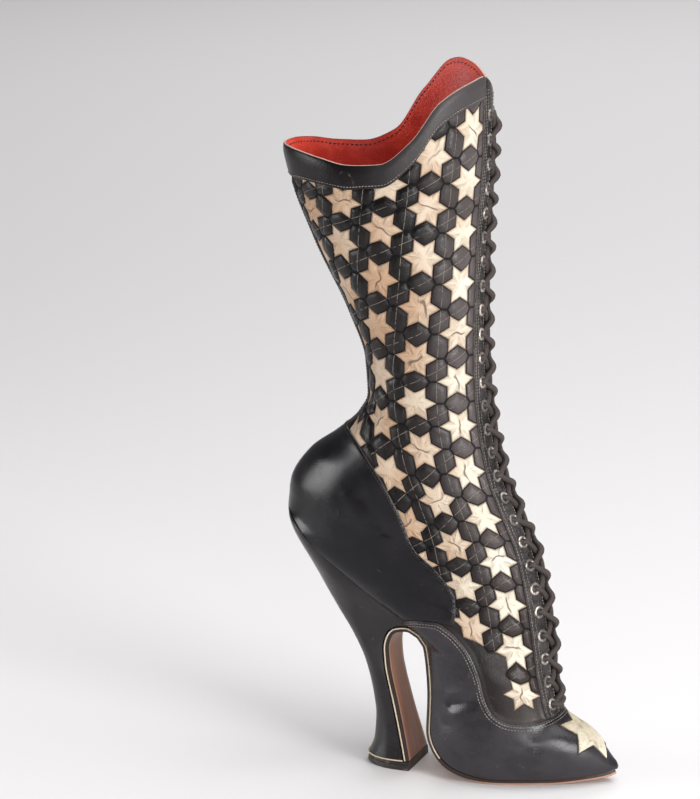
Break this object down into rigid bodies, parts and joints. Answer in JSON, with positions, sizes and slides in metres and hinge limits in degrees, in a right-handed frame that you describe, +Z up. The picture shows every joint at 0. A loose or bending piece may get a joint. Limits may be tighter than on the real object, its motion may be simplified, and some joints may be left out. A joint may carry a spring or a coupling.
{
  "type": "high-heeled boot",
  "caption": "Pointed lace-up leather boot with a tall curved heel, a flared mid-calf leg, a side panel of inlaid stars and a star on the toe.",
  "frame": {"origin": "floor point under the middle of the whole boot", "axes": "+X towards the toe, +Y towards the boot's left side, which is the inner side, +Z up along the leg"},
  "size_m": [0.1909, 0.0936, 0.3924],
  "materials": {
    "black_leather": "glossy, worn and creased",
    "band_leather": "satin",
    "tongue_leather": "satin",
    "lace_cord": "matte",
    "star_leather": "aged, finely cracked",
    "insole_leather": "matte",
    "sole_leather": "satin, worn",
    "heel_leather": "glossy, worn",
    "lift_leather": "matte"
  },
  "bodies": {
    "root": {"upper": "black_leather", "vamp": "black_leather", "counter": "black_leather", "top_band": "band_leather", "back_stay": "black_leather", "eyestay_left": "band_leather", "eyestay_right": "band_leather", "tongue": "tongue_leather", "lace": "lace_cord", "toe_star": "star_leather", "insole": "insole_leather", "outsole": "sole_leather", "heel": "heel_leather", "top_lift": "lift_leather"}
  },
  "joints": []
}
